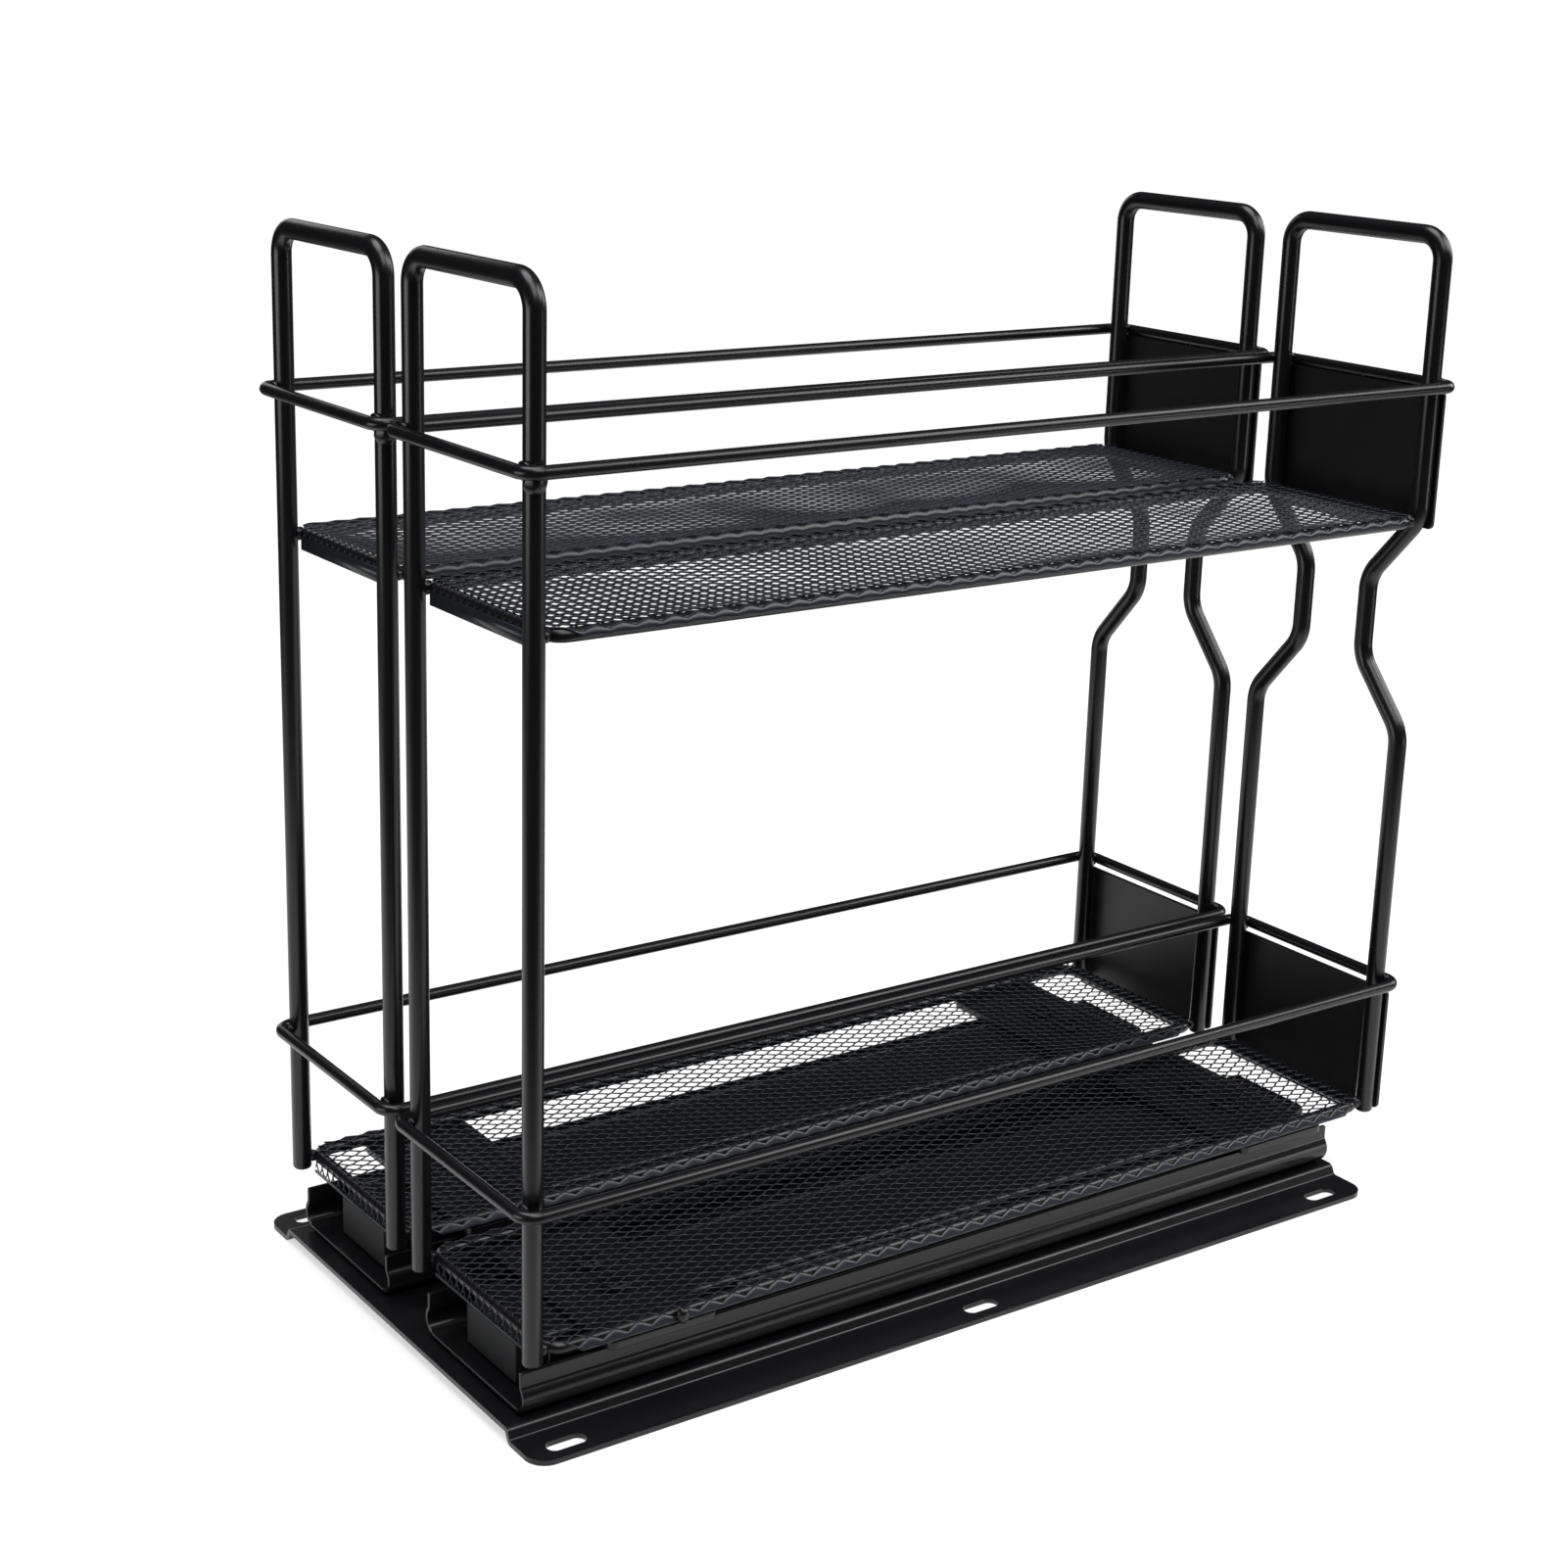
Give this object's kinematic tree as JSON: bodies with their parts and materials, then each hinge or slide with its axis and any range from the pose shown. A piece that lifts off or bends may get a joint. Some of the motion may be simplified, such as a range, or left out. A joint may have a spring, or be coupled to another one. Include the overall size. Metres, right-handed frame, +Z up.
{
  "type": "pull-out spice rack",
  "caption": "Two narrow two-shelf wire racks side by side on a folded base plate, each pulling out on its own ball-bearing slide, with guard rings and bottle-shaped front legs.",
  "frame": {"origin": "on the floor, at the middle of the whole object seen from above", "axes": "+X to the front, the way the racks pull out; +Y from the near rack to the far rack; +Z up"},
  "size_m": [0.261, 0.1334, 0.2466],
  "materials": {
    "black_powder_coat": "satin",
    "zinc_plated_steel": "satin",
    "grey_plastic": "matte"
  },
  "bodies": {
    "base": {"base_plate": "black_powder_coat", "near_outer_member": "black_powder_coat", "near_rear_stop": "grey_plastic", "near_rail_rivet_1": "zinc_plated_steel", "near_rail_rivet_2": "zinc_plated_steel", "near_rail_rivet_3": "zinc_plated_steel", "far_outer_member": "black_powder_coat", "far_rear_stop": "grey_plastic", "far_rail_rivet_1": "zinc_plated_steel", "far_rail_rivet_2": "zinc_plated_steel", "far_rail_rivet_3": "zinc_plated_steel"},
    "near_rack": {"near_inner_member": "black_powder_coat", "near_rear_strap": "black_powder_coat", "near_front_strap": "black_powder_coat", "near_strap_rivet_1": "zinc_plated_steel", "near_strap_rivet_2": "zinc_plated_steel", "near_strap_rivet_3": "zinc_plated_steel", "near_strap_rivet_4": "zinc_plated_steel", "near_rear_loop": "black_powder_coat", "near_front_loop": "black_powder_coat", "near_upper_ring": "black_powder_coat", "near_lower_ring": "black_powder_coat", "near_upper_frame": "black_powder_coat", "near_lower_frame": "black_powder_coat", "near_upper_mesh": "black_powder_coat", "near_lower_mesh": "black_powder_coat", "near_upper_panel": "black_powder_coat", "near_lower_panel": "black_powder_coat"},
    "near_middle": {"near_middle_member": "black_powder_coat"},
    "near_outer_cage": {"near_outer_ball_cage": "zinc_plated_steel"},
    "near_inner_cage": {"near_inner_ball_cage": "zinc_plated_steel"},
    "far_rack": {"far_inner_member": "black_powder_coat", "far_rear_strap": "black_powder_coat", "far_front_strap": "black_powder_coat", "far_strap_rivet_1": "zinc_plated_steel", "far_strap_rivet_2": "zinc_plated_steel", "far_strap_rivet_3": "zinc_plated_steel", "far_strap_rivet_4": "zinc_plated_steel", "far_rear_loop": "black_powder_coat", "far_front_loop": "black_powder_coat", "far_upper_ring": "black_powder_coat", "far_lower_ring": "black_powder_coat", "far_upper_frame": "black_powder_coat", "far_lower_frame": "black_powder_coat", "far_upper_mesh": "black_powder_coat", "far_lower_mesh": "black_powder_coat", "far_upper_panel": "black_powder_coat", "far_lower_panel": "black_powder_coat"},
    "far_middle": {"far_middle_member": "black_powder_coat"},
    "far_outer_cage": {"far_outer_ball_cage": "zinc_plated_steel"},
    "far_inner_cage": {"far_inner_ball_cage": "zinc_plated_steel"}
  },
  "joints": [
    {"name": "near_slide", "type": "slide", "parent": "base", "child": "near_rack", "axis": [1, 0, 0], "range_m": [0, 0.22]},
    {"name": "near_middle_slide", "type": "slide", "parent": "base", "child": "near_middle", "axis": [1, 0, 0], "range_m": [0, 0.11]},
    {"name": "near_outer_cage_slide", "type": "slide", "parent": "base", "child": "near_outer_cage", "axis": [1, 0, 0], "range_m": [0, 0.055]},
    {"name": "near_inner_cage_slide", "type": "slide", "parent": "base", "child": "near_inner_cage", "axis": [1, 0, 0], "range_m": [0, 0.165]},
    {"name": "far_slide", "type": "slide", "parent": "base", "child": "far_rack", "axis": [1, 0, 0], "range_m": [0, 0.22]},
    {"name": "far_middle_slide", "type": "slide", "parent": "base", "child": "far_middle", "axis": [1, 0, 0], "range_m": [0, 0.11]},
    {"name": "far_outer_cage_slide", "type": "slide", "parent": "base", "child": "far_outer_cage", "axis": [1, 0, 0], "range_m": [0, 0.055]},
    {"name": "far_inner_cage_slide", "type": "slide", "parent": "base", "child": "far_inner_cage", "axis": [1, 0, 0], "range_m": [0, 0.165]}
  ],
  "couplings": [
    {"joint": "near_middle_slide", "follows": "near_slide", "ratio": 0.5},
    {"joint": "near_outer_cage_slide", "follows": "near_slide", "ratio": 0.25},
    {"joint": "near_inner_cage_slide", "follows": "near_slide", "ratio": 0.75},
    {"joint": "far_middle_slide", "follows": "far_slide", "ratio": 0.5},
    {"joint": "far_outer_cage_slide", "follows": "far_slide", "ratio": 0.25},
    {"joint": "far_inner_cage_slide", "follows": "far_slide", "ratio": 0.75}
  ]
}
